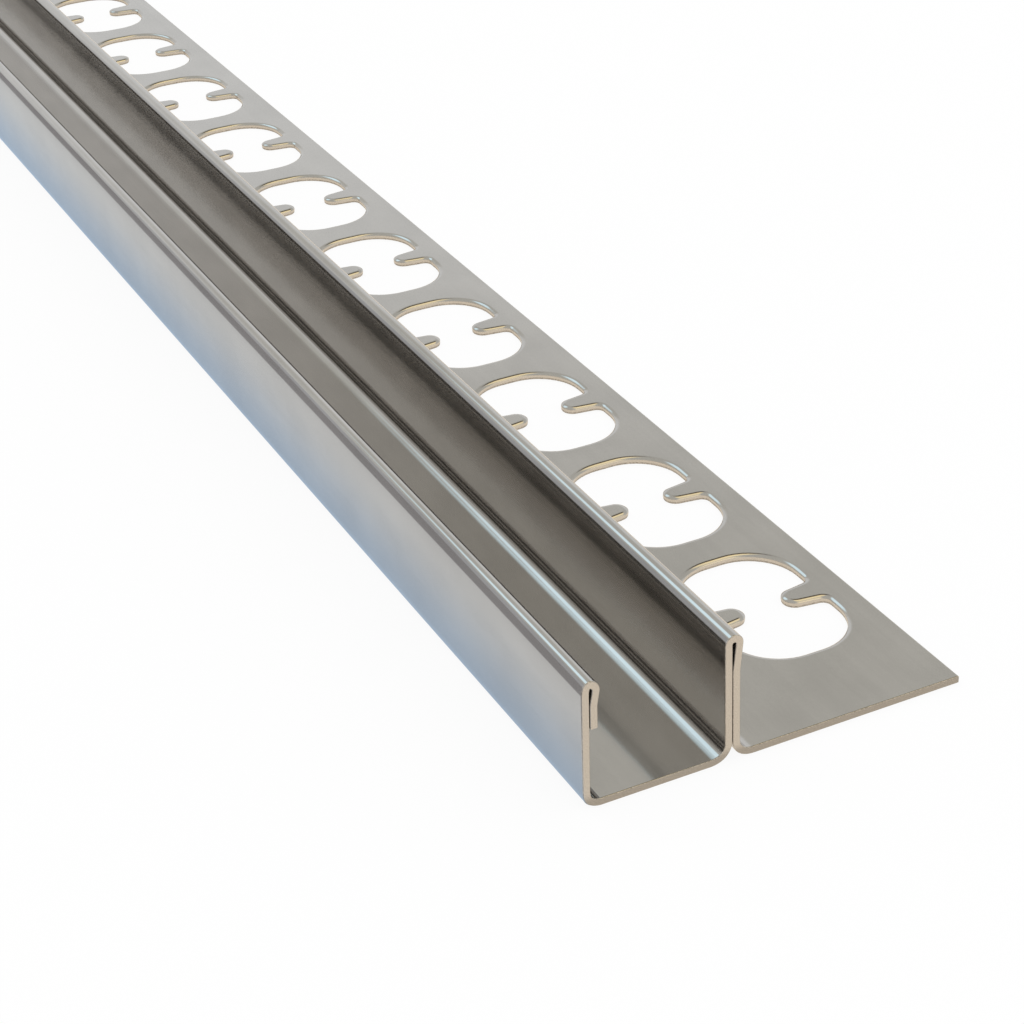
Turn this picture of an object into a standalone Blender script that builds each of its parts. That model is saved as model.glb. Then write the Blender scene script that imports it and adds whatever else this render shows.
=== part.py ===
"""U-channel slope profile: one strip of stainless steel sheet, bent along its length.

From its first edge the strip is a hem, the channel's outer wall, the channel's floor, the
doubled inner wall and a flat anchoring leg with a row of punched openings. Every section is
the same, because the profile is bent in one go.

Units are metres and +Z is up. X runs across the profile from the channel to the leg, and Y
runs along it. The origin is in the middle of the base.
"""

import math

import bmesh
import bpy
from mathutils import Vector

# Strip
SHEET = 0.0008
LENGTH = 1.0

# Channel
WALL_HEIGHT = 0.014
CHANNEL_WIDTH = 0.014
BEND_RADIUS = 0.0011

# Hem of the outer wall, folded into the channel
HEM_DEPTH = 0.0052
HEM_VOID = 0.00026
HEM_END_GAP = 0.00008

# Fold of the inner wall, and the gap between its two plies
FOLD_VOID = 0.0003
FOLD_TAPER = 0.0026
PLY_GAP = 0.0001

# Anchoring leg, measured from the inner wall's outer face to the sheared edge
LEG_WIDTH = 0.0251

# Punched openings
OPENING_WIDTH = 0.0132
OPENING_LENGTH = 0.0191
OPENING_CORNER = 0.0056
OPENING_EDGE = 0.0031
OPENING_PITCH = 0.0242
FIRST_OPENING = 0.0202
LAST_LAND = 0.005

# Tongues of metal that reach into each opening from its long sides
NECK_WIDTH = 0.0048
TONGUE_TIP = 0.0014
TONGUE_ROOT = 0.0009
TONGUE_FLANK = math.radians(8)

# Facets of each round stretch
BEND_STEPS = 6
FOLD_STEPS = 12
CORNER_STEPS = 5
ROOT_STEPS = 2
TIP_STEPS = 3

# How far a cutter stands out of the sheet on both faces
CUTTER_PROUD = 0.001

STEEL_COLOR = (0.42, 0.41, 0.39, 1.0)
STEEL_ROUGHNESS = 0.34

QUARTER_TURN = math.pi / 2
HALF_TURN = math.pi


class StripPath:
    """Centreline of the bent strip in the X-Z plane, grown from straight runs and bends."""

    def __init__(self, start, heading):
        self.point = Vector(start)
        self.heading = heading
        self.stations = [(self.point.copy(), heading)]

    def _mark(self):
        self.stations.append((self.point.copy(), self.heading))

    def direction(self):
        return Vector((math.cos(self.heading), math.sin(self.heading)))

    def left(self):
        return Vector((-math.sin(self.heading), math.cos(self.heading)))

    def run(self, length):
        """Go straight on."""
        self.point += self.direction() * length
        self._mark()

    def run_to_x(self, x):
        self.run((x - self.point.x) / self.direction().x)

    def run_to_z(self, z):
        self.run((z - self.point.y) / self.direction().y)

    def bend(self, angle, radius, steps):
        """Turn by the angle, left where it is positive, on an arc of the centreline radius."""
        side = math.copysign(1.0, angle)
        centre = self.point + self.left() * radius * side
        for _ in range(steps):
            self.heading += angle / steps
            self.point = centre - self.left() * radius * side
            self._mark()

    def outline(self, thickness):
        """Return the closed outline of a strip of the thickness along the path."""
        half = thickness / 2
        sides = [(point, Vector((-math.sin(turn), math.cos(turn))) * half)
                 for point, turn in self.stations]
        upper = [point + offset for point, offset in sides]
        lower = [point - offset for point, offset in sides]
        return lower + upper[::-1]


def inner_wall_outer_face():
    """X of the inner wall's outer face, from the outer wall's outer face."""
    return SHEET + CHANNEL_WIDTH + SHEET + PLY_GAP + SHEET


def overall_width():
    return inner_wall_outer_face() + LEG_WIDTH


def bend_centreline():
    return BEND_RADIUS + SHEET / 2


def start_hem():
    """Start the path at the hem's cut end and fold it over into the outer wall.

    The hem leans towards the wall, so that the gap under its rounded top closes to the end gap.
    """
    radius = (SHEET + HEM_VOID) / 2
    centre = Vector((SHEET + HEM_VOID / 2, WALL_HEIGHT - SHEET - HEM_VOID / 2))
    drop = centre.y - (WALL_HEIGHT - HEM_DEPTH)
    lean = math.atan2(HEM_VOID - HEM_END_GAP, drop)
    top = centre + Vector((math.cos(lean), -math.sin(lean))) * radius
    rise = drop / math.cos(lean)
    path = StripPath(top - Vector((math.sin(lean), math.cos(lean))) * rise, QUARTER_TURN - lean)
    path.run(rise)
    path.bend(HALF_TURN + lean, radius, FOLD_STEPS)
    return path


def add_channel(path):
    """Run down the outer wall, across the floor and up the inner wall's first ply."""
    path.run_to_z(SHEET + BEND_RADIUS)
    path.bend(QUARTER_TURN, bend_centreline(), BEND_STEPS)
    path.run_to_x(SHEET + CHANNEL_WIDTH - BEND_RADIUS)
    path.bend(QUARTER_TURN, bend_centreline(), BEND_STEPS)
    path.run_to_z(WALL_HEIGHT - SHEET - FOLD_VOID / 2)


def add_fold_and_leg(path):
    """Fold back down into the second ply, close the fold's void, and bend out into the leg."""
    radius = (SHEET + FOLD_VOID) / 2
    ply_x = inner_wall_outer_face() - SHEET / 2
    lean = math.atan2(FOLD_VOID - PLY_GAP, FOLD_TAPER)
    path.bend(-(HALF_TURN + lean), radius, FOLD_STEPS)
    path.run_to_x(ply_x + bend_centreline() * (1 - math.cos(lean)))
    path.bend(lean, bend_centreline(), 1)
    path.run_to_z(SHEET + BEND_RADIUS)
    path.bend(QUARTER_TURN, bend_centreline(), BEND_STEPS)
    path.run_to_x(overall_width())


def section_outline():
    """Return the closed outline of the profile's section as X-Z points."""
    path = start_hem()
    add_channel(path)
    add_fold_and_leg(path)
    return path.outline(SHEET)


def arc(centre, radius, start, end, steps):
    """Return the points of an arc between two angles, both ends included."""
    turns = [start + (end - start) * step / steps for step in range(steps + 1)]
    return [(centre[0] + radius * math.cos(turn), centre[1] + radius * math.sin(turn))
            for turn in turns]


def opening_outline():
    """Return an opening's outline as X-Y points about its centre.

    One quarter runs from a tongue's round tip along its sloping flank, round its root and round
    the outer corner. The root's arc touches the flank and the opening's long side. The other
    three quarters are mirror images.
    """
    half_width = OPENING_WIDTH / 2
    half_length = OPENING_LENGTH / 2
    tip_x = NECK_WIDTH / 2 + TONGUE_TIP
    root_x = half_width - TONGUE_ROOT
    rise = (root_x - tip_x) * math.sin(TONGUE_FLANK)
    root_y = (TONGUE_TIP + TONGUE_ROOT + rise) / math.cos(TONGUE_FLANK)
    quarter = arc((tip_x, 0.0), TONGUE_TIP, HALF_TURN, QUARTER_TURN + TONGUE_FLANK, TIP_STEPS)
    quarter += arc((root_x, root_y), TONGUE_ROOT, TONGUE_FLANK - QUARTER_TURN, 0.0, ROOT_STEPS)
    quarter += arc((half_width - OPENING_CORNER, half_length - OPENING_CORNER), OPENING_CORNER,
                   0.0, QUARTER_TURN, CORNER_STEPS)
    points = list(quarter)
    points += [(-x, y) for x, y in quarter[:0:-1]]
    points += [(-x, -y) for x, y in quarter]
    points += [(x, -y) for x, y in quarter[:0:-1]]
    return points


def opening_centres():
    """Return the centres of all openings as X-Y points, from the near end on."""
    x = overall_width() - OPENING_EDGE - OPENING_WIDTH / 2
    room = LENGTH - LAST_LAND - OPENING_LENGTH / 2 - FIRST_OPENING
    count = 1 + int(room / OPENING_PITCH)
    return [(x, FIRST_OPENING + number * OPENING_PITCH) for number in range(count)]


def extrude_loops(name, loops, offset):
    """Return a mesh of closed prisms, one for each loop of points, along the offset."""
    mesh = bpy.data.meshes.new(name)
    shape = bmesh.new()
    for loop in loops:
        face = shape.faces.new([shape.verts.new(point) for point in loop])
        grown = bmesh.ops.extrude_face_region(shape, geom=[face], use_keep_orig=True)
        moved = [item for item in grown["geom"] if isinstance(item, bmesh.types.BMVert)]
        bmesh.ops.translate(shape, verts=moved, vec=offset)
    bmesh.ops.recalc_face_normals(shape, faces=shape.faces)
    shape.to_mesh(mesh)
    shape.free()
    return mesh


def stainless_steel():
    """Brushed stainless steel as it comes from the coil."""
    material = bpy.data.materials.new("stainless_steel")
    material.use_nodes = True
    surface = material.node_tree.nodes["Principled BSDF"]
    surface.inputs["Base Color"].default_value = STEEL_COLOR
    surface.inputs["Metallic"].default_value = 1.0
    surface.inputs["Roughness"].default_value = STEEL_ROUGHNESS
    return material


def add_object(name, mesh, parent):
    item = bpy.data.objects.new(name, mesh)
    item.parent = parent
    bpy.context.scene.collection.objects.link(item)
    return item


def build_opening_cutter(parent):
    """Prisms of all openings in one mesh, standing proud of the leg on both faces."""
    loops = [[(centre_x + x, centre_y + y, -CUTTER_PROUD) for x, y in opening_outline()]
             for centre_x, centre_y in opening_centres()]
    depth = SHEET + 2 * CUTTER_PROUD
    cutter = add_object("opening_cutter", extrude_loops("opening_cutter", loops, (0, 0, depth)), parent)
    cutter.hide_render = True
    cutter.display_type = "WIRE"
    return cutter


def build_profile(parent):
    """The bent strip at its full length, with the openings cut through its leg."""
    loop = [(point.x, 0.0, point.y) for point in section_outline()]
    mesh = extrude_loops("u_channel_slope_profile", [loop], (0, LENGTH, 0))
    mesh.materials.append(stainless_steel())
    mesh.shade_smooth()
    mesh.set_sharp_from_angle(angle=math.radians(35))
    profile = add_object("u_channel_slope_profile", mesh, parent)
    cut = profile.modifiers.new("openings", "BOOLEAN")
    cut.operation = "DIFFERENCE"
    cut.solver = "EXACT"
    cut.object = build_opening_cutter(parent)
    return profile


def main():
    for item in list(bpy.data.objects):
        bpy.data.objects.remove(item, do_unlink=True)
    base = add_object("base", None, None)
    base.location = (-overall_width() / 2, -LENGTH / 2, 0)
    build_profile(base)


main()
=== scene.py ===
"""Scene of the u-channel slope profile: one strip of stainless sheet, bent along its length.

The strip's skin is worked out in strip space, where a point is its reach across the unfolded
strip, its place along the profile and its height over the sheet's middle. One formula bends that
space into the profile, and turns the shading normals with it. Units are metres, +Z is up and Y
runs along the profile.
"""

import logging
import math
from dataclasses import dataclass
from enum import Enum
from typing import Any

import bmesh
import bpy
import numpy as np
from mathutils import Matrix, Vector


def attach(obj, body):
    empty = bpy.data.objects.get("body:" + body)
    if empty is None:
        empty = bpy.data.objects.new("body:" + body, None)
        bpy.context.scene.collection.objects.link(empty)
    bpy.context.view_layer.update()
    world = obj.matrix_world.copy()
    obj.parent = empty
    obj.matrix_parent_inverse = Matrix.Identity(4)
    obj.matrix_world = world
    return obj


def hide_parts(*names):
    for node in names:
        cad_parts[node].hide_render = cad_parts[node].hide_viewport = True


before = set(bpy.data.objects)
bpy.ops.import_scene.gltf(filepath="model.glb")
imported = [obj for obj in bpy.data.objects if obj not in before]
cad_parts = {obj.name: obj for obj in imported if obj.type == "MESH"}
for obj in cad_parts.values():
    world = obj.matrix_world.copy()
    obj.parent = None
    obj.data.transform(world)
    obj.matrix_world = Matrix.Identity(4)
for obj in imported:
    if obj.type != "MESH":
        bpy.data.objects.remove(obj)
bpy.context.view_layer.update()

Array = np.ndarray
Triple = tuple[float, float, float]
Color = Triple
Bend = tuple[tuple[float, float], ...]

WHITE: Color = (1.0, 1.0, 1.0)
MILLIMETRE = 0.001

log = logging.getLogger("u_channel_slope_profile")


# Strip and openings

@dataclass(frozen=True)
class StripSizes:
    """Sizes of the bent strip. The main ones are the same as in the part's source.

    A bend is given by its stretches' turns and centreline radii, from the wall's side to the
    floor's, and eases into the floor as a press leaves it. The hem's shoulder is the wide stretch
    on the channel's side of its crown, given in the same way. The inner wall leans into the
    channel by a hair, and both folds keep a drop-shaped void.

    The turn step is the largest turn between rows of points, and the plain strip lies between
    the last bend and the punched cells.
    """

    sheet: float = 0.0008
    length: float = 1.0
    wall_height: float = 0.014
    channel_width: float = 0.014
    hem_depth: float = 0.0052
    hem_shoulder: tuple[float, float] = (math.radians(70), 0.00075)
    hem_crown: float = 0.00042
    hem_lean: float = math.radians(9)
    hem_taper: float = 0.0014
    hem_ease: float = 0.0012
    brow_turn: float = math.radians(17)
    brow_radius: float = 0.0023
    fold_void: float = 0.00036
    fold_taper: float = 0.0029
    fold_ease: float = 0.0015
    ply_gap: float = 0.0001
    pressed_gap: float = 0.00005
    wall_lean: float = 0.0199
    outer_bend: Bend = ((math.radians(18), 0.0026), (math.radians(35), 0.0008),
                        (math.radians(37), 0.0020))
    inner_bend: Bend = ((math.radians(69), 0.00162), (math.radians(17), 0.0025),
                        (math.radians(4), 0.0029))
    leg_width: float = 0.0251
    plain_strip: float = 0.0006
    turn_step: float = math.radians(6.5)

    def inner_wall_outer_face(self) -> float:
        """X of the inner wall's outer face, from the outer wall's outer face."""
        return self.sheet * 3 + self.channel_width + self.ply_gap

    def overall_width(self) -> float:
        """Width of the whole profile."""
        return self.inner_wall_outer_face() + self.leg_width


@dataclass(frozen=True)
class OpeningSizes:
    """Sizes of the punched openings and their places in the leg, as in the part's source."""

    width: float = 0.0132
    length: float = 0.0191
    corner: float = 0.0056
    edge: float = 0.0031
    pitch: float = 0.0242
    first: float = 0.0202
    last_land: float = 0.005
    neck: float = 0.0048
    tongue_tip: float = 0.0014
    tongue_root: float = 0.0009
    tongue_flank: float = math.radians(8)

    def centres(self, strip: StripSizes) -> Array:
        """Places of the openings' centres along the profile, from its near end."""
        room = strip.length - self.last_land - self.length / 2 - self.first
        return self.first + self.pitch * np.arange(1 + int(room / self.pitch))


class Cut(Enum):
    """How a stretch of the skin was cut, as the value of the mesh's attribute shear."""

    COIL = 0.0
    BURNISHED = 1.0
    TORN = 2.0


@dataclass(frozen=True)
class EdgeSizes:
    """How far a cut rounds the sheet's faces over.

    A punch or a shear first drags the upper face down in a soft roll, then leaves a burnished
    band, and last tears the sheet in a rougher band that flares out. The roll's sizes are for
    the openings, and the end's for the cut round the strip. A facing is a normal's parts out of
    the cut and off the upper face. Rows of points keep the rim's room, in insets, off the hem's
    cut.
    """

    roll_inset: float = 0.00062
    roll_corner: float = 0.00008
    roll_slope: float = math.radians(40)
    roll_shear: tuple[float, ...] = (0.0, 0.0, 0.0, 0.1, 0.4, 0.8, 1.0)
    burnish_end: float = -0.00014
    burnish_fade: float = 0.00002
    flare: float = 0.00004
    flare_start: float = 0.2
    flare_end: float = 1.6
    lip: float = 0.00003
    torn_facing: tuple[float, float] = (0.99, -0.14)
    lip_facing: tuple[float, float] = (0.8, -0.6)
    tear_reach: float = 0.00006
    end_inset: float = 0.00013
    end_corner: float = 0.00008
    end_slope: float = math.radians(24)
    end_shear: tuple[float, ...] = (0.0, 0.4, 1.7, 2.0, 1.2)
    corner_steps: int = 2
    rim_room: float = 1.5
    tolerance: float = 1e-5

    def rounding(self, inset: float, corner: float, slope: float, shear: tuple[float, ...]) -> Array:
        """Profile from a face over into a cut: a wide arc down to a slope, then a tight one.

        At a turn t an arc of radius r has gone r (sin t - sin of its first turn) towards the cut
        and r (cos of its first turn - cos t) off the face. The wide arc's radius makes both
        together as long as the inset.

        Args:
            inset: how far from the cut the rounding begins.
            corner: radius of the tight arc.
            slope: turn at which the tight arc begins.
            shear: values of the attribute shear, one for each row.

        Returns:
            Rows of inset, depth, shear, and the normal's parts out of the cut and off the face.
        """
        wide = (inset - corner * (1 - math.sin(slope))) / math.sin(slope)
        first = np.linspace(0, slope, len(shear) - self.corner_steps)
        last = np.linspace(slope, math.pi / 2, self.corner_steps + 1)[1:]
        left = np.concatenate([inset - wide * np.sin(first), corner * (1 - np.sin(last))])
        sunk = wide * (1 - math.cos(slope))
        depth = np.concatenate([wide * (1 - np.cos(first)),
                                sunk + corner * (math.cos(slope) - np.cos(last))])
        turn = np.concatenate([first, last])
        return np.stack([left, depth, np.array(shear), np.sin(turn), np.cos(turn)], axis=1)


class BentPath:
    """Centreline of the bent strip in the X-Z plane, as straight and round stretches."""

    def __init__(self, start: tuple[float, float], heading: float) -> None:
        """Start the path.

        Args:
            start: X and Z of the first point.
            heading: direction of travel, turning from +X towards +Z.
        """
        self.knots = [(0.0, start[0], start[1], heading)]
        self.curvatures: list[float] = []

    def _grow(self, length: float, curvature: float) -> None:
        """Go on for a length at one curvature, by the chord and the mean heading."""
        reach, x, z, heading = self.knots[-1]
        turn = curvature * length
        chord = length * float(np.sinc(turn / 2 / np.pi))
        middle = heading + turn / 2
        self.knots.append((reach + length, x + chord * math.cos(middle),
                           z + chord * math.sin(middle), heading + turn))
        self.curvatures.append(curvature)

    def run(self, length: float) -> None:
        """Go straight on."""
        self._grow(length, 0.0)

    def run_to_x(self, x: float) -> None:
        """Go straight on to an X."""
        self.run((x - self.knots[-1][1]) / math.cos(self.knots[-1][3]))

    def run_to_z(self, z: float) -> None:
        """Go straight on to a Z."""
        self.run((z - self.knots[-1][2]) / math.sin(self.knots[-1][3]))

    def bend(self, angle: float, radius: float) -> None:
        """Turn by the angle, left where it is positive, on a round stretch of the radius."""
        self._grow(abs(angle) * radius, math.copysign(1 / radius, angle))

    def brake(self, stretches: Bend) -> None:
        """Turn left through the stretches of a bend, each a turn and a radius."""
        for angle, radius in stretches:
            self.bend(angle, radius)

    def reach(self) -> float:
        """Length of the whole path."""
        return self.knots[-1][0]

    def stations(self, turn_step: float) -> Array:
        """Reaches that cut each round stretch into turns of at most the step.

        Args:
            turn_step: largest turn between two stations.

        Returns:
            The reaches in rising order, with every end of a stretch among them.
        """
        reaches = [np.zeros(1)]
        for (start, *_), (end, *_), curvature in zip(self.knots, self.knots[1:], self.curvatures):
            count = max(1, math.ceil(abs(curvature) * (end - start) / turn_step))
            reaches.append(np.linspace(start, end, count + 1)[1:])
        return np.concatenate(reaches)

    def place(self, reach: Array, height: Array) -> tuple[Array, Array, Array]:
        """Bend points of strip space into the profile's section.

        A stretch that starts at a point with a heading and turns by its curvature ends, after a
        length, one chord away at the mean of both headings. The point then stands off the
        centreline to the left by its height.

        Args:
            reach: reaches along the path.
            height: heights over the centreline, of the same shape.

        Returns:
            X and Z of the points, and the headings there.
        """
        knots = np.array(self.knots)
        curvatures = np.array(self.curvatures)
        stretch = np.searchsorted(knots[:, 0], reach, side="right") - 1
        stretch = np.clip(stretch, 0, len(curvatures) - 1)
        begin, x, z, heading = np.moveaxis(knots[stretch], -1, 0)
        length = reach - begin
        turn = curvatures[stretch] * length
        chord = length * np.sinc(turn / 2 / np.pi)
        across = heading + turn
        return (x + chord * np.cos(heading + turn / 2) - height * np.sin(across),
                z + chord * np.sin(heading + turn / 2) + height * np.cos(across), across)


def bend_reach(bend: Bend, lean: float = 0.0) -> tuple[float, float]:
    """How far a bend reaches along the wall and along the floor.

    Each stretch adds its radius times the change in the sine of the angle to the upright, and
    times the change in its cosine.

    Args:
        bend: the stretches' turns and radii, from the wall's side.
        lean: the wall's own angle to the upright.

    Returns:
        The height and the width of the bend's centreline.
    """
    turn, radius = np.array(bend).T
    angle = lean + np.concatenate([[0.0], np.cumsum(turn)])
    return (float(np.sum(radius * np.diff(np.sin(angle)))),
            float(-np.sum(radius * np.diff(np.cos(angle)))))


def lay_hem(strip: StripSizes) -> BentPath:
    """Lay the hem from its cut end over its drop-shaped void into the outer wall's brow.

    The crown is tight by the outer wall and wider at the hem's shoulder. The start is worked out
    backwards from the outer wall and from the crown's top: a left turn by a radius moves a point
    by the radius times the change in the heading's sine, and up by the radius times the fall in
    its cosine.
    """
    half, lean, quarter = strip.sheet / 2, strip.hem_lean, math.pi / 2
    turn, wide = strip.hem_shoulder
    tight = strip.hem_crown
    begin, middle, end = quarter - lean, quarter - lean + turn, 3 * quarter - strip.brow_turn
    brow = strip.brow_radius * (1 - math.cos(strip.brow_turn))
    over = (wide * (math.sin(begin) - math.sin(middle))
            + tight * (math.sin(middle) - math.sin(end)))
    tapered = strip.hem_ease * (1 - math.cos(lean)) + strip.hem_taper * math.sin(lean)
    top = wide * (math.cos(begin) - math.cos(middle)) + tight * (math.cos(middle) + 1)
    rise = strip.hem_ease * math.sin(lean) + strip.hem_taper * math.cos(lean)
    path = BentPath((half + brow + over - tapered, strip.wall_height - strip.hem_depth), quarter)
    path.run(strip.hem_depth - half - top - rise)
    path.bend(-lean, strip.hem_ease)
    path.run(strip.hem_taper)
    path.bend(turn, wide)
    path.bend(end - middle, tight)
    path.bend(strip.brow_turn, strip.brow_radius)
    return path


def bent_path(strip: StripSizes) -> BentPath:
    """Lay the path from the hem's cut end over the channel to the leg's sheared edge.

    Args:
        strip: the strip's sizes.

    Returns:
        The path, with the outer wall's outer face at X = 0 and the base at Z = 0.
    """
    half, lean = strip.sheet / 2, strip.wall_lean
    path = lay_hem(strip)
    rise, _ = bend_reach(strip.outer_bend)
    path.run_to_z(half + rise)
    path.brake(strip.outer_bend)

    fold_radius = half + strip.fold_void / 2
    fold_z = strip.wall_height - half - fold_radius * (1 + math.sin(lean))
    (steep, tight), *eased = strip.inner_bend
    up = ((steep + lean, tight), *eased)
    rise, flat = bend_reach(up, -lean)
    foot = strip.sheet + strip.channel_width + half + math.tan(lean) * (fold_z - half - rise)
    path.run_to_x(foot - flat)
    path.brake(up[::-1])
    path.run_to_z(fold_z)

    spread = math.asin((strip.fold_void - strip.pressed_gap) / strip.fold_taper)
    path.bend(-(math.pi + spread), fold_radius)
    path.run(strip.fold_taper)
    path.bend(spread, strip.fold_ease)
    down = ((steep - lean, tight), *eased)
    path.run_to_z(half + bend_reach(down, lean)[0])
    path.brake(down)
    path.run_to_x(strip.overall_width())
    return path


class SkinMesh:
    """Faces of a skin in strip space, gathered from grids and then bent into one mesh.

    A point has seven numbers: its reach, its place along the profile, its height over the
    sheet's middle, its value of the attribute shear, and its normal's parts along the first
    three. Points within the seam are joined, but each face's corners keep their own normals.
    """

    seam: float = 1e-6

    def __init__(self) -> None:
        """Start with no points and no faces."""
        self.points: list[Array] = []
        self.faces: list[Array] = []
        self.count = 0

    def _number(self, points: Array) -> Array:
        """Keep the points and give their numbers, in the same arrangement."""
        numbers = self.count + np.arange(points[..., 0].size).reshape(points.shape[:-1])
        self.points.append(points.reshape(-1, 7))
        self.count += numbers.size
        return numbers

    def add_grid(self, points: Array, closed: bool = False) -> None:
        """Add the four-sided faces between neighbouring rows and columns of points.

        Args:
            points: array (..., rows, columns, 7); further axes before these hold more grids.
            closed: whether the last column joins the first.
        """
        number = self._number(points)
        if closed:
            number = np.concatenate([number, number[..., :1]], axis=-1)
        corners = (number[..., :-1, :-1], number[..., :-1, 1:],
                   number[..., 1:, 1:], number[..., 1:, :-1])
        self.faces.append(np.stack(corners, axis=-1).reshape(-1, 4))

    def add_plates(self, points: Array) -> None:
        """Add one many-sided face for each row of points of the array (plates, corners, 7)."""
        self.faces.append(self._number(points))

    def build(self, name: str, path: BentPath, shift: tuple[float, float]) -> bpy.types.Mesh:
        """Bend the skin, close its seams and turn its faces outwards.

        Args:
            name: the mesh's name.
            path: the path that bends strip space.
            shift: what is added to X and Y.

        Returns:
            The mesh, with the point attribute shear.
        """
        points = np.concatenate(self.points)
        x, z, heading = path.place(points[:, 0], points[:, 2])
        places = np.stack([x + shift[0], points[:, 1] + shift[1], z], axis=1)
        onward, along, upward = points[:, 4:].T
        normals = np.stack([onward * np.cos(heading) - upward * np.sin(heading), along,
                            onward * np.sin(heading) + upward * np.cos(heading)], axis=1)
        corners = np.concatenate([block.ravel() for block in self.faces])
        mesh = bpy.data.meshes.new(name)
        mesh.from_pydata(places.tolist(), [], [face for block in self.faces for face in block.tolist()])
        shear = mesh.attributes.new("shear", "FLOAT", "POINT")
        shear.data.foreach_set("value", points[:, 3].astype(np.float32))
        facing = mesh.attributes.new("facing", "FLOAT_VECTOR", "CORNER")
        facing.data.foreach_set("vector", normals[corners].astype(np.float32).ravel())
        shape = bmesh.new()
        shape.from_mesh(mesh)
        bmesh.ops.remove_doubles(shape, verts=shape.verts, dist=self.seam)
        bmesh.ops.recalc_face_normals(shape, faces=shape.faces)
        loose = sum(1 for edge in shape.edges if len(edge.link_faces) != 2)
        shape.to_mesh(mesh)
        shape.free()
        mesh.shade_smooth()
        kept = np.empty(len(mesh.loops) * 3, dtype=np.float32)
        mesh.attributes["facing"].data.foreach_get("vector", kept)
        mesh.attributes.remove(mesh.attributes["facing"])
        mesh.normals_split_custom_set(kept.reshape(-1, 3).tolist())
        log.info("%s: %d faces, %d open edges", name, len(mesh.polygons), loose)
        return mesh


def arc(centre: tuple[float, float], radius: float, start: float, end: float, steps: int) -> Array:
    """Points of an arc between two angles: the centre plus the radius in each direction."""
    turn = np.linspace(start, end, steps + 1)
    return np.stack([centre[0] + radius * np.cos(turn), centre[1] + radius * np.sin(turn)], axis=1)


def mirror_round(right: Array, left: Array) -> Array:
    """Join one quarter's points on the right and on the left into a full round by mirroring."""
    return np.concatenate([right, left[:0:-1] * (-1, 1), -left, right[:0:-1] * (1, -1)])


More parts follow.
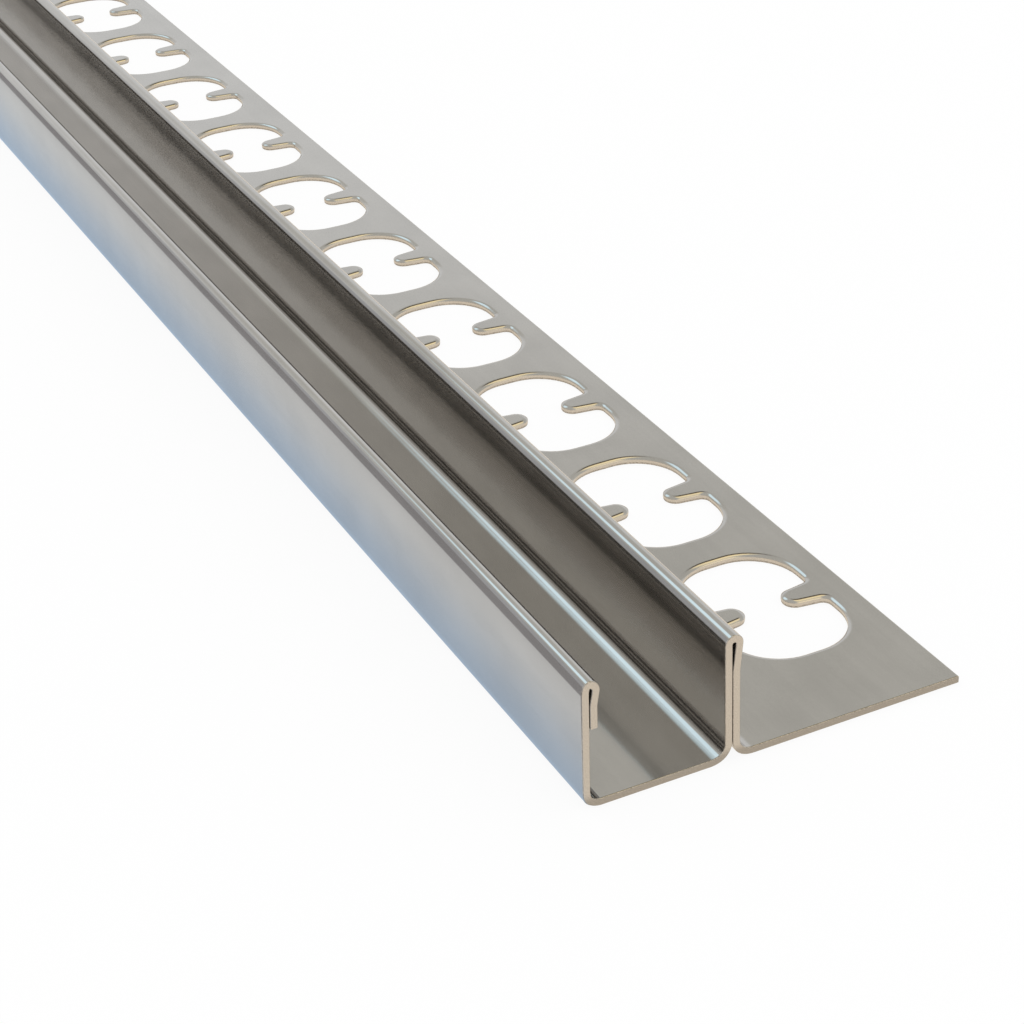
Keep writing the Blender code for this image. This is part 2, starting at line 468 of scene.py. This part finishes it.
@dataclass(frozen=True)
class PunchedCell:
    """One pitch of the leg: an opening and the rectangle of flat sheet around it."""

    sizes: OpeningSizes
    edges: EdgeSizes
    sheet: float
    reach_left: float
    reach_right: float
    tip_steps: int = 8
    root_steps: int = 6
    corner_steps: int = 12
    tiny: float = 1e-9

    def quarter(self) -> tuple[Array, int]:
        """Outline of the opening's first quarter, from the tongue's tip to the outer corner.

        Returns:
            The X-Y points about the opening's centre, and how many of them are the tongue's.
        """
        size = self.sizes
        half_width, half_length = size.width / 2, size.length / 2
        tip_x, root_x = size.neck / 2 + size.tongue_tip, half_width - size.tongue_root
        rise = (root_x - tip_x) * math.sin(size.tongue_flank)
        root_y = (size.tongue_tip + size.tongue_root + rise) / math.cos(size.tongue_flank)
        tip = arc((tip_x, 0.0), size.tongue_tip, math.pi, math.pi / 2 + size.tongue_flank,
                  self.tip_steps)
        root = arc((root_x, root_y), size.tongue_root, size.tongue_flank - math.pi / 2, 0.0,
                   self.root_steps)
        flank = tip[-1] + (root[0] - tip[-1]) * np.array([[1 / 3], [2 / 3]])
        corner = arc((half_width - size.corner, half_length - size.corner), size.corner,
                     0.0, math.pi / 2, self.corner_steps)
        tongue = np.concatenate([tip, flank, root])
        return np.concatenate([tongue, corner]), len(tongue)

    def border(self, inner: Array, tongue: int, reach: float) -> Array:
        """Send each point of the roll's inner ring out to the cell's border.

        A point of the oval goes straight out from the centre. The tongue's points go straight
        across to the border's side, so that no two of their lines cross. The point that lands
        nearest to the cell's corner is put on it.
        """
        half_pitch = self.sizes.pitch / 2
        away = np.maximum(inner, self.tiny)
        scale = np.minimum(reach / away[:, 0], half_pitch / away[:, 1])
        border = inner * scale[:, None]
        border[:tongue, 0] = reach
        border[:tongue, 1] = inner[:tongue, 1]
        corner = int(np.argmin(np.abs(border - (reach, half_pitch)).sum(axis=1)))
        border[corner] = (reach, half_pitch)
        return border

    def rings(self) -> Array:
        """Rings of the cell from its upper border, down the opening's wall, to its lower border.

        The wall's profile is the roll's rounding, a straight burnished band and a torn band that
        flares out to a sharp lower edge. Each ring is the outline moved into the sheet, along its
        own normal, by the profile's inset. The last ring before the border ends the torn finish.

        Returns:
            Array (rings, points, 7) about the opening's centre.
        """
        quarter, tongue = self.quarter()
        outline = mirror_round(quarter, quarter)
        edge = self.edges
        ahead = np.roll(outline, -1, axis=0) - np.roll(outline, 1, axis=0)
        ahead /= np.linalg.norm(ahead, axis=1, keepdims=True)
        into_sheet = np.stack([ahead[:, 1], -ahead[:, 0]], axis=1)
        inner = quarter + into_sheet[:len(quarter)] * edge.roll_inset
        border = mirror_round(self.border(inner, tongue, self.reach_right),
                              self.border(inner, tongue, self.reach_left))
        half, torn = self.sheet / 2, Cut.TORN.value
        roll = edge.rounding(edge.roll_inset, edge.roll_corner, edge.roll_slope, edge.roll_shear)
        roll[:, 1] = half - roll[:, 1]
        start, end = edge.flare * edge.flare_start, edge.flare * edge.flare_end
        wall = np.array([(0, edge.burnish_end, Cut.BURNISHED.value, 1, 0),
                         (start, edge.burnish_end - edge.burnish_fade, torn, *edge.torn_facing),
                         (edge.flare, edge.lip - half, torn, *edge.torn_facing),
                         (end, -half, torn, *edge.lip_facing),
                         (end, -half, torn, 0, -1),
                         (end + edge.tear_reach, -half, Cut.COIL.value, 0, -1)])
        profile = np.concatenate([roll, wall])[:, None, :]
        rings = np.zeros((len(profile) + 2, len(outline), 7))
        rings[1:-1, :, :2] = outline + into_sheet * profile[..., :1]
        rings[1:-1, :, 2:4] = profile[..., 1:3]
        rings[1:-1, :, 4:6] = -into_sheet * profile[..., 3:4]
        rings[1:-1, :, 6] = profile[..., 4]
        rings[0, :, :2] = rings[-1, :, :2] = border
        rings[0, :, 2:] = (half, Cut.COIL.value, 0, 0, 1)
        rings[-1, :, 2:] = (-half, Cut.COIL.value, 0, 0, -1)
        return rings


class StainlessStrip:
    """The whole profile: the bent strip, its punched leg and its cut edges."""

    def __init__(self, strip: StripSizes, openings: OpeningSizes, edges: EdgeSizes) -> None:
        """Work out the path and where the bent part gives way to the punched leg."""
        self.strip = strip
        self.openings = openings
        self.edges = edges
        self.path = bent_path(strip)
        width = strip.overall_width()
        opening_x = width - openings.edge - openings.width / 2
        self.leg_start = self.path.knots[-2][0]
        self.cell_centre = self.reach_at(opening_x)
        cell_start = self.leg_start + strip.plain_strip
        self.cell = PunchedCell(openings, edges, strip.sheet, self.cell_centre - cell_start,
                                width - edges.end_inset - opening_x)

    def reach_at(self, x: float) -> float:
        """Reach of a point of the leg, whose stretch is level and ends at the sheared edge."""
        return self.path.reach() - (self.strip.overall_width() - x)

    def bent_stations(self) -> Array:
        """Reaches of the bent part, from the hem's rounded cut to the start of the leg."""
        reaches = self.path.stations(self.strip.turn_step)
        keep = ((reaches > self.edges.end_inset * self.edges.rim_room)
                & (reaches < self.leg_start - self.edges.tolerance))
        return np.concatenate([[self.edges.end_inset], reaches[keep], [self.leg_start]])

    def long_stations(self) -> Array:
        """Places along the profile: both ends and every end of a cell."""
        centres = self.openings.centres(self.strip)
        cells = centres[0] + self.openings.pitch * (np.arange(len(centres) + 1) - 0.5)
        inset = self.edges.end_inset
        return np.concatenate([[inset], cells, [self.strip.length - inset]])

    @staticmethod
    def spread(reaches: Array, places: Array, height: float) -> Array:
        """Grid of plain points over all reaches and places, at one height."""
        grid = np.zeros((len(reaches), len(places), 7))
        grid[..., 0] = reaches[:, None]
        grid[..., 1] = places[None, :]
        grid[..., 2] = height
        grid[..., 6] = math.copysign(1.0, height)
        return grid

    def add_leg(self, skin: SkinMesh) -> tuple[Array, Array]:
        """Add the punched cells and the plain strips that join them to the rest.

        Args:
            skin: the skin to add to.

        Returns:
            The reaches of the cells' ends, and the places along the leg's sheared edge.
        """
        rings = self.cell.rings()
        centres = self.openings.centres(self.strip)
        cells = np.repeat(rings[None], len(centres), axis=0)
        cells[..., 0] += self.cell_centre
        cells[..., 1] += centres[:, None, None]
        skin.add_grid(cells, closed=True)

        border = rings[0, :, :2]
        half_pitch = self.openings.pitch / 2
        low = border[np.isclose(border[:, 1], -half_pitch)]
        ends = self.cell_centre + np.sort(low[:, 0])
        left = np.sort(border[np.isclose(border[:, 0], -self.cell.reach_left), 1])
        right = np.sort(border[np.isclose(border[:, 0], self.cell.reach_right), 1])
        inset, length = self.edges.end_inset, self.strip.length
        first, last = centres[0] - half_pitch, centres[-1] + half_pitch
        for side in (1.0, -1.0):
            height = side * self.strip.sheet / 2
            for places in ((inset, first), (last, length - inset)):
                reaches = np.concatenate([[self.leg_start], ends])
                skin.add_grid(self.spread(reaches, np.array(places), height))
            plates = np.zeros((len(centres), len(left) + 2, 7))
            plates[:, :len(left), 0] = self.cell_centre - self.cell.reach_left
            plates[:, :len(left), 1] = centres[:, None] + left
            plates[:, len(left):, 0] = self.leg_start
            plates[:, len(left):, 1] = centres[:, None] + half_pitch * np.array([1, -1])
            plates[..., 2] = height
            plates[..., 6] = side
            skin.add_plates(plates)
        sheared = (centres[:, None] + right[None, :-1]).ravel()
        return ends, np.concatenate([[inset], sheared, [last, length - inset]])

    def add_rim(self, skin: SkinMesh, reaches: Array, hem_places: Array, leg_places: Array) -> None:
        """Add the cut that runs round the whole strip.

        The rim's profile rounds off the upper face, goes straight down and rounds onto the lower
        face. It is carried round the strip's rectangle, and at a corner it is moved in along both
        sides at once, which mitres it.

        Args:
            skin: the skin to add to.
            reaches: the reaches of both ends, in rising order.
            hem_places: the places along the hem's cut edge.
            leg_places: the places along the leg's sheared edge.
        """
        edge, half = self.edges, self.strip.sheet / 2
        inset, length, width = edge.end_inset, self.strip.length, self.path.reach()
        sides = ((reaches, np.full(len(reaches), inset), (0, -1)),
                 (np.full(len(leg_places), width - inset), leg_places, (1, 0)),
                 (reaches[::-1], np.full(len(reaches), length - inset), (0, 1)),
                 (np.full(len(hem_places), inset), hem_places[::-1], (-1, 0)))
        loop = np.concatenate([np.stack([reach, place], axis=1) for reach, place, _ in sides])
        outward = np.concatenate([np.tile(facing, (len(reach), 1)) for reach, _, facing in sides])
        inward = np.isclose(loop, inset) * 1.0 - np.isclose(loop, (width - inset, length - inset))
        upper = edge.rounding(inset, edge.end_corner, edge.end_slope, edge.end_shear)
        lower = upper[::-1] * (1, 1, 1, 1, -1)
        upper[:, 1] = half - upper[:, 1]
        lower[:, 1] -= half
        profile = np.concatenate([upper, lower])[:, None, :]
        rows = np.zeros((len(profile), len(loop), 7))
        rows[..., :2] = loop + inward * (profile[..., :1] - inset)
        rows[..., 2:4] = profile[..., 1:3]
        rows[..., 4:6] = outward * profile[..., 3:4]
        rows[..., 6] = profile[..., 4]
        skin.add_grid(rows, closed=True)

    def build(self) -> bpy.types.Object:
        """Build the profile's skin as one closed mesh, in the place of the CAD node."""
        skin = SkinMesh()
        bent, places = self.bent_stations(), self.long_stations()
        for side in (1.0, -1.0):
            skin.add_grid(self.spread(bent, places, side * self.strip.sheet / 2))
        ends, leg_places = self.add_leg(skin)
        self.add_rim(skin, np.concatenate([bent, ends]), places, leg_places)
        shift = (-self.strip.overall_width() / 2, -self.strip.length / 2)
        mesh = skin.build("stainless_strip", self.path, shift)
        piece = bpy.data.objects.new("stainless_strip", mesh)
        bpy.context.scene.collection.objects.link(piece)
        return piece


# Shader maths

class Signal:
    """A number that changes over a surface: an output socket with Python's operators."""

    def __init__(self, graph: "Graph", socket: bpy.types.NodeSocket) -> None:
        """Wrap an output socket of the graph."""
        self.graph = graph
        self.socket = socket

    def _math(self, operation: str, *values: Any) -> "Signal":
        """Add a Math node and give its result."""
        return self.graph.signal("ShaderNodeMath", {"operation": operation}, dict(enumerate(values)))

    def __add__(self, other: Any) -> "Signal":
        """Sum with a number or signal."""
        return self._math("ADD", self, other)

    def __radd__(self, other: Any) -> "Signal":
        """Sum with a number on the left."""
        return self._math("ADD", other, self)

    def __sub__(self, other: Any) -> "Signal":
        """Difference to a number or signal."""
        return self._math("SUBTRACT", self, other)

    def __rsub__(self, other: Any) -> "Signal":
        """Difference from a number on the left."""
        return self._math("SUBTRACT", other, self)

    def __mul__(self, other: Any) -> "Signal":
        """Product with a number or signal."""
        return self._math("MULTIPLY", self, other)

    def __rmul__(self, other: Any) -> "Signal":
        """Product with a number on the left."""
        return self._math("MULTIPLY", other, self)

    def at_most(self, other: Any) -> "Signal":
        """Lesser of this and another."""
        return self._math("MINIMUM", self, other)

    def at_least(self, other: Any) -> "Signal":
        """Greater of this and another."""
        return self._math("MAXIMUM", self, other)

    def ease(self, low: float, high: float) -> "Signal":
        """Rise smoothly from 0 at low to 1 at high; the other way round where high is less."""
        return self.graph.signal("ShaderNodeMapRange", {"interpolation_type": "SMOOTHSTEP"},
                                 {"Value": self, "From Min": low, "From Max": high})


class Graph:
    """The node tree of one material or world."""

    def __init__(self, tree: bpy.types.NodeTree) -> None:
        """Take an owner's tree and empty it."""
        self.tree = tree
        tree.nodes.clear()

    def node(self, kind: str, settings: dict[str, Any], inputs: dict[Any, Any]) -> bpy.types.Node:
        """Add a node.

        Args:
            kind: the node's type.
            settings: its properties, which are set first; stops are a ramp's (place, color) list.
            inputs: values, or signals and sockets to link, by the name or number of the input.

        Returns:
            The new node.
        """
        made = self.tree.nodes.new(kind)
        for name, value in settings.items():
            if name == "stops":
                ramp = made.color_ramp
                while len(ramp.elements) < len(value):
                    ramp.elements.new(1.0)
                for stop, (place, color) in zip(ramp.elements, value):
                    stop.position = place
                    stop.color = (*color, 1.0)
            else:
                setattr(made, name, value)
        for key, value in inputs.items():
            source = value.socket if isinstance(value, Signal) else value
            if isinstance(source, bpy.types.NodeSocket):
                self.tree.links.new(source, made.inputs[key])
            else:
                made.inputs[key].default_value = source
        return made

    def signal(self, kind: str, settings: dict[str, Any], inputs: dict[Any, Any],
               output: int | str = 0) -> Signal:
        """Add a node and wrap one of its outputs."""
        return Signal(self, self.node(kind, settings, inputs).outputs[output])

    def object_place(self) -> Signal:
        """The surface point's place in the piece's own coordinates."""
        return self.signal("ShaderNodeTexCoord", {}, {}, "Object")

    def part(self, place: Signal, axis: int) -> Signal:
        """The place's part along an axis: 0 for X, 1 for Y and 2 for Z."""
        return self.signal("ShaderNodeSeparateXYZ", {}, {0: place}, axis)

    def noise(self, place: Signal, pattern: "Pattern") -> Signal:
        """Cloudy noise of about 0 to 1, at the place times the pattern's scale along each axis."""
        spread = self.signal("ShaderNodeVectorMath", {"operation": "MULTIPLY"},
                             {0: place, 1: pattern.scale})
        return self.signal("ShaderNodeTexNoise", {},
                           {"Vector": spread, "Scale": 1.0, "Detail": pattern.detail,
                            "Roughness": pattern.rough})

    def blend(self, factor: Any, first: Any, second: Any, kind: str = "MIX") -> Signal:
        """Color between two, by the factor; as MULTIPLY, between the first and their product.

        A Mix node takes its factor at 0 and its colors at 6 and 7, and gives the color at 2.
        """
        sides = [(*side, 1.0) if isinstance(side, tuple) else side for side in (first, second)]
        settings = {"data_type": "RGBA", "blend_type": kind, "clamp_factor": True}
        return self.signal("ShaderNodeMix", settings, {0: factor, 6: sides[0], 7: sides[1]}, 2)


# Finishes

def scaled(color: Color, level: float) -> Color:
    """The color times a level."""
    return (color[0] * level, color[1] * level, color[2] * level)


def toward(azimuth: float, elevation: float) -> Triple:
    """Unit vector from degrees: azimuth turns from +Y to +X, and elevation rises from the floor."""
    around, rise = math.radians(azimuth), math.radians(elevation)
    return (math.sin(around) * math.cos(rise), math.cos(around) * math.cos(rise), math.sin(rise))


@dataclass(frozen=True)
class Pattern:
    """Noise in the steel, and how far it moves the finish.

    The scale is in clouds per metre along each axis. The tone is the noise's weight in the color,
    the swing its share in the roughness, and the bump its height in millimetres.
    """

    scale: Triple
    detail: float
    rough: float
    tone: float = 0.0
    swing: float = 0.0
    bump: float = 0.0


@dataclass(frozen=True)
class SteelTone:
    """A steel color that noise moves between a darker and a lighter level, over its span."""

    color: Color
    levels: tuple[float, float]
    span: tuple[float, float]
    roughness: float
    bump: float = 0.0

    def vary(self, graph: Graph, noise: Signal) -> Signal:
        """The color as the noise moves it."""
        dark, pale = (scaled(self.color, level) for level in self.levels)
        return graph.blend(noise.ease(*self.span), dark, pale)


@dataclass(frozen=True)
class SteelFinish:
    """Stainless steel as it comes from the coil, with burnished and torn cuts.

    Near both ends of the stock the cut is darker where it lies low.
    """

    coil: SteelTone = SteelTone((0.52, 0.492, 0.46), (0.93, 1.07), (0.25, 0.75), 0.095)
    burnished: SteelTone = SteelTone((0.62, 0.57, 0.505), (0.92, 1.08), (0.3, 0.7), 0.28, 0.002)
    torn: SteelTone = SteelTone((0.47, 0.43, 0.38), (0.6, 1.3), (0.35, 0.65), 0.48, 0.004)
    metallic: float = 0.94
    bands: Pattern = Pattern((900.0, 9.0, 900.0), 3.0, 0.55, 0.25, 0.05, 0.0009)
    mottle: Pattern = Pattern((170.0, 110.0, 170.0), 2.0, 0.45, 0.55, 0.04, 0.012)
    grain: Pattern = Pattern((5200.0, 1700.0, 5200.0), 2.0, 0.6, 0.2, 0.03, 0.0002)
    speck: Pattern = Pattern((9000.0, 9000.0, 9000.0), 2.0, 0.6)
    low_cut: float = 0.6
    low_cut_height: tuple[float, float] = (0.0018, 0.0007)
    cut_end: tuple[float, float] = (0.4997, 0.4998)
    spring_back: float = 0.018
    channel_floor: tuple[float, float] = (-0.0187, -0.0062)
    inner_face: tuple[float, float] = (-0.0064, -0.0052)
    face_fade: float = 0.0002
    # Painted reflection: heights and shades of dark bands painted onto the inner wall's channel side
    painted_bands_from: float = 0.0094
    painted_bands_to: float = 0.0139
    painted_reflection_bands: tuple[tuple[float, float], ...] = (
        (0.0, 1.0), (0.12, 0.86), (0.2, 0.93), (0.28, 0.84), (0.36, 0.58), (0.45, 0.58),
        (0.56, 0.74), (0.66, 0.76), (0.73, 0.6), (0.8, 0.62), (0.9, 0.9), (1.0, 1.0))

    def dress(self, piece: bpy.types.Object) -> None:
        """Give the piece this finish.

        Rolling bands are noise drawn out along the profile, mottling is broad noise, and grain is
        fine noise. They move the color and roughness a little, and a bump bends the reflections.
        Dark bands of painted reflection run along the upper part of the inner wall's channel side,
        and a bump that rises evenly across the channel's floor tilts its shading by the spring back.
        """
        material = bpy.data.materials.new("stainless_steel_coil")
        material.use_nodes = True
        graph = Graph(material.node_tree)
        place = graph.object_place()
        across, along, level = (graph.part(place, axis) for axis in range(3))
        bands, mottle, grain, speck = (graph.noise(place, pattern) for pattern
                                       in (self.bands, self.mottle, self.grain, self.speck))
        shear = graph.signal("ShaderNodeAttribute", {"attribute_name": "shear"}, {}, "Fac")
        cut = shear.at_most(Cut.BURNISHED.value)
        torn = (shear - Cut.BURNISHED.value).at_least(0.0)

        coil = self.coil.vary(graph, self.mottle.tone * mottle + self.bands.tone * bands
                              + self.grain.tone * grain)
        # Painted reflection: the inner wall's channel side is darkened in bands by height, standing in
        # for what the wall mirrors
        height = (level - self.painted_bands_from) * (1.0 / (self.painted_bands_to - self.painted_bands_from))
        painted_band_shades = [(stop, scaled(WHITE, shade)) for stop, shade in self.painted_reflection_bands]
        painted_reflection = graph.signal("ShaderNodeValToRGB", {"stops": painted_band_shades}, {"Fac": height})
        left, right = self.inner_face
        inner = (across.ease(left, left + self.face_fade)
                 * across.ease(right, right - self.face_fade))
        coil = graph.blend(inner, coil, painted_reflection, "MULTIPLY")
        at_end = (along * along).ease(self.cut_end[0] ** 2, self.cut_end[1] ** 2)
        low = graph.blend(level.ease(*self.low_cut_height) * at_end, WHITE,
                          scaled(WHITE, self.low_cut))
        fresh = graph.blend(1.0, self.burnished.vary(graph, speck), low, "MULTIPLY")
        color = graph.blend(torn, graph.blend(cut, coil, fresh), self.torn.vary(graph, speck))

        roughness = (self.coil.roughness + self.mottle.swing * (mottle - 0.5)
                     + self.bands.swing * (bands - 0.5) + self.grain.swing * (grain - 0.5)
                     + cut * (self.burnished.roughness - self.coil.roughness)
                     + torn * (self.torn.roughness - self.burnished.roughness))

        tilt = across.at_least(self.channel_floor[0]).at_most(self.channel_floor[1])
        relief = (tilt * (self.spring_back / MILLIMETRE) + self.mottle.bump * mottle
                  + self.bands.bump * bands + self.grain.bump * grain
                  + cut * (self.burnished.bump * speck) + torn * (self.torn.bump * speck))
        bump = graph.node("ShaderNodeBump", {}, {"Strength": 1.0, "Distance": MILLIMETRE,
                                                 "Height": relief})
        shader = graph.node("ShaderNodeBsdfPrincipled", {},
                            {"Base Color": color, "Metallic": self.metallic, "Roughness": roughness,
                             "Normal": bump.outputs[0]})
        graph.node("ShaderNodeOutputMaterial", {}, {"Surface": shader.outputs[0]})
        piece.data.materials.append(material)


@dataclass(frozen=True)
class FloorFinish:
    """Plain white floor that keeps a faint shadow, and is tinted for what metal shows.

    For what metal shows the tints are painted light: a bluish pool just outside the outer wall that
    fades into paler window light, a painted dark reflection further out, and warm lamp light from
    the wall inwards. The tints change with the distance from the outer wall, over the reaches.
    """

    paint: Color = (0.94, 0.94, 0.94)
    glow: float = 0.91
    painted_blue_light_by_wall: Color = (0.50, 0.66, 0.87)
    by_window: Color = (0.79, 0.82, 0.84)
    by_lamp: Color = (0.95, 0.87, 0.76)
    away: Color = (0.28, 0.28, 0.3)
    wall_x: float = -0.0208
    window_reach: float = 0.008
    away_reach: tuple[float, float] = (0.0078, 0.0106)
    lamp_reach: tuple[float, float] = (0.0002, 0.001)

    def dress(self, piece: bpy.types.Object) -> None:
        """Give the piece this finish: paint, and for what the camera and metal see, some glow."""
        material = bpy.data.materials.new("white_floor")
        material.use_nodes = True
        graph = Graph(material.node_tree)
        seen = graph.node("ShaderNodeLightPath", {}, {}).outputs
        camera, glossy, through = (Signal(graph, seen[f"Is {ray} Ray"])
                                   for ray in ("Camera", "Glossy", "Transmission"))
        direct = (camera + glossy + through).at_most(1.0)
        place = graph.object_place()
        across = graph.part(place, 0)
        # Painted light for what metal shows: bluish pool by the outer wall, window light, painted dark
        # reflection further out, warm lamp light inwards
        wall = self.wall_x
        painted_light_pool = graph.blend(across.ease(wall, wall - self.window_reach), self.painted_blue_light_by_wall, self.by_window)
        near, far = self.away_reach
        painted_light_pool = graph.blend(across.ease(wall - near, wall - far), painted_light_pool, self.away)
        near, far = self.lamp_reach
        painted_light_pool = graph.blend(across.ease(wall + near, wall + far), painted_light_pool, self.by_lamp)
        tone = graph.blend(camera, painted_light_pool, WHITE)
        paint = graph.node("ShaderNodeBsdfDiffuse", {}, {"Color": (*self.paint, 1.0)})
        white = graph.node("ShaderNodeEmission", {}, {"Color": tone, "Strength": 1.0})
        mix = graph.node("ShaderNodeMixShader", {}, {0: direct * self.glow, 1: paint.outputs[0],
                                                     2: white.outputs[0]})
        graph.node("ShaderNodeOutputMaterial", {}, {"Surface": mix.outputs[0]})
        piece.data.materials.append(material)


# Studio and camera

@dataclass(frozen=True)
class SkyPatch:
    """A soft round patch that multiplies the surround's color for what metal shows.

    All angles are in degrees. The share is full within the core and gone at the rim.
    """

    azimuth: float
    elevation: float
    core: float
    rim: float
    color: Color


@dataclass(frozen=True)
class SoftLamp:
    """An area lamp of an even radiance that looks at the profile's near end."""

    name: str
    azimuth: float
    elevation: float
    width: float
    height: float
    radiance: float
    color: Color
    distance: float = 2.4
    target: Triple = (0.0, -0.42, 0.0)

    def hang(self) -> None:
        """Hang the lamp; its power is the radiance times pi times its area."""
        away = Vector(toward(self.azimuth, self.elevation))
        lamp = bpy.data.lights.new(self.name, "AREA")
        lamp.shape = "RECTANGLE"
        lamp.size, lamp.size_y = self.width, self.height
        lamp.energy = self.radiance * math.pi * self.width * self.height
        lamp.color = self.color
        holder = bpy.data.objects.new(self.name, lamp)
        holder.location = Vector(self.target) + away * self.distance
        holder.rotation_euler = away.to_track_quat("Z", "Y").to_euler()
        holder.visible_camera = False
        holder.visible_glossy = False
        bpy.context.scene.collection.objects.link(holder)


@dataclass(frozen=True)
class Studio:
    """White studio: a pale floor, a white surround with soft darker patches, and soft lamps."""

    floor_half: float = 30.0
    floor_drop: float = 0.00006
    floor_points: int = 9
    patches: tuple[SkyPatch, ...] = (
        SkyPatch(-14.0, 47.0, 7.0, 15.0, (1.85, 2.35, 2.8)),
        SkyPatch(-42.0, 14.0, 10.0, 24.0, (0.6, 0.61, 0.64)),
        SkyPatch(43.0, 54.0, 6.0, 14.0, (0.15, 0.12, 0.08)),
        SkyPatch(70.0, 66.0, 8.0, 20.0, (2.4, 2.05, 1.35)),
        SkyPatch(148.0, 48.0, 8.0, 30.0, (2.3, 2.0, 1.5)),
    )
    high: Color = (0.64, 0.65, 0.622)
    low: Color = (0.86, 0.89, 0.91)
    horizon: Color = (0.6, 0.6, 0.62)
    fade_height: tuple[float, float] = (0.36, 0.56)
    horizon_height: tuple[float, float] = (0.03, 0.1)
    lamps: tuple[SoftLamp, ...] = (
        SoftLamp("window_softbox", -22.0, 48.0, 1.5, 1.0, 0.5, (0.85, 0.94, 1.0)),
        SoftLamp("room_lamp", 150.0, 42.0, 0.9, 0.6, 0.5, (1.0, 0.92, 0.8)),
    )

    def lay_floor(self) -> None:
        """Lay the floor as a grid, a hair under the profile."""
        side = np.linspace(-self.floor_half, self.floor_half, self.floor_points)
        x, y = np.meshgrid(side, side, indexing="ij")
        points = np.stack([x, y, np.full_like(x, -self.floor_drop)], axis=-1).reshape(-1, 3)
        number = np.arange(x.size).reshape(x.shape)
        faces = np.stack([number[:-1, :-1], number[1:, :-1], number[1:, 1:], number[:-1, 1:]],
                         axis=-1).reshape(-1, 4)
        mesh = bpy.data.meshes.new("white_floor")
        mesh.from_pydata(points.tolist(), [], faces.tolist())
        floor = bpy.data.objects.new("white_floor", mesh)
        bpy.context.scene.collection.objects.link(floor)
        FloorFinish().dress(floor)

    def paint_surround(self) -> None:
        """Paint the world white, with the patches and a darker horizon for what metal shows.

        A patch's share rises smoothly from its rim to its core, by the cosine of the angle
        between a direction and the patch's middle.
        """
        world = bpy.data.worlds.new("white_studio")
        bpy.context.scene.world = world
        world.use_nodes = True
        graph = Graph(world.node_tree)
        ray = graph.signal("ShaderNodeTexCoord", {}, {}, "Generated")
        rise = graph.part(ray, 2)
        color = graph.blend(rise.ease(*self.fade_height), self.low, self.high)
        color = graph.blend(rise.ease(*self.horizon_height), self.horizon, color)
        for patch in self.patches:
            cosine = graph.signal("ShaderNodeVectorMath", {"operation": "DOT_PRODUCT"},
                                  {0: ray, 1: toward(patch.azimuth, patch.elevation)}, "Value")
            share = cosine.ease(math.cos(math.radians(patch.rim)), math.cos(math.radians(patch.core)))
            color = graph.blend(share, color, patch.color, "MULTIPLY")
        metal = graph.signal("ShaderNodeLightPath", {}, {}, "Is Glossy Ray")
        color = graph.blend(metal, WHITE, color)
        light = graph.node("ShaderNodeBackground", {}, {"Color": color, "Strength": 1.0})
        graph.node("ShaderNodeOutputWorld", {}, {"Surface": light.outputs[0]})

    def build(self) -> None:
        """Build the floor, the surround and the lamps."""
        self.lay_floor()
        self.paint_surround()
        for lamp in self.lamps:
            lamp.hang()
        log.info("studio built with %d patches, %d lamps", len(self.patches), len(self.lamps))


@dataclass(frozen=True)
class PhotoCamera:
    """The camera's place and lens, worked out from the profile's edges in the photo."""

    place: Triple = (-0.09887, -0.648, 0.1312)
    right: Triple = (0.8914, -0.4522, -0.0289)
    up: Triple = (0.2533, 0.4444, 0.8593)
    forward: Triple = (0.3757, 0.7733, -0.5107)
    focal_pixels: float = 2321.2
    image_pixels: float = 1024.0
    sensor: float = 36.0
    clip: tuple[float, float] = (0.001, 200.0)

    def set_up(self) -> None:
        """Make the camera and use it."""
        camera = bpy.data.cameras.new("photo_camera")
        camera.sensor_width = self.sensor
        camera.lens = self.focal_pixels / self.image_pixels * self.sensor
        camera.clip_start, camera.clip_end = self.clip
        holder = bpy.data.objects.new("photo_camera", camera)
        axes = Matrix((self.right, self.up, -Vector(self.forward))).transposed()
        holder.matrix_world = Matrix.Translation(self.place) @ axes.to_quaternion().to_matrix().to_4x4()
        bpy.context.scene.collection.objects.link(holder)
        bpy.context.scene.camera = holder


def corners(box: Any) -> list[list[float]]:
    """A box's lowest and highest corner as plain lists."""
    return [[float(value) for value in corner] for corner in box]


def main() -> None:
    """Build the camera, the studio and the strip."""
    logging.basicConfig(level=logging.INFO, format="%(name)s: %(message)s")
    bpy.context.scene.view_settings.view_transform = "Standard"
    PhotoCamera().set_up()
    Studio().build()
    piece = StainlessStrip(StripSizes(), OpeningSizes(), EdgeSizes()).build()
    SteelFinish().dress(piece)
    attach(piece, "root")
    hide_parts("u_channel_slope_profile")
    log.info("%s built", piece.name)


if __name__ == "__main__":
    main()
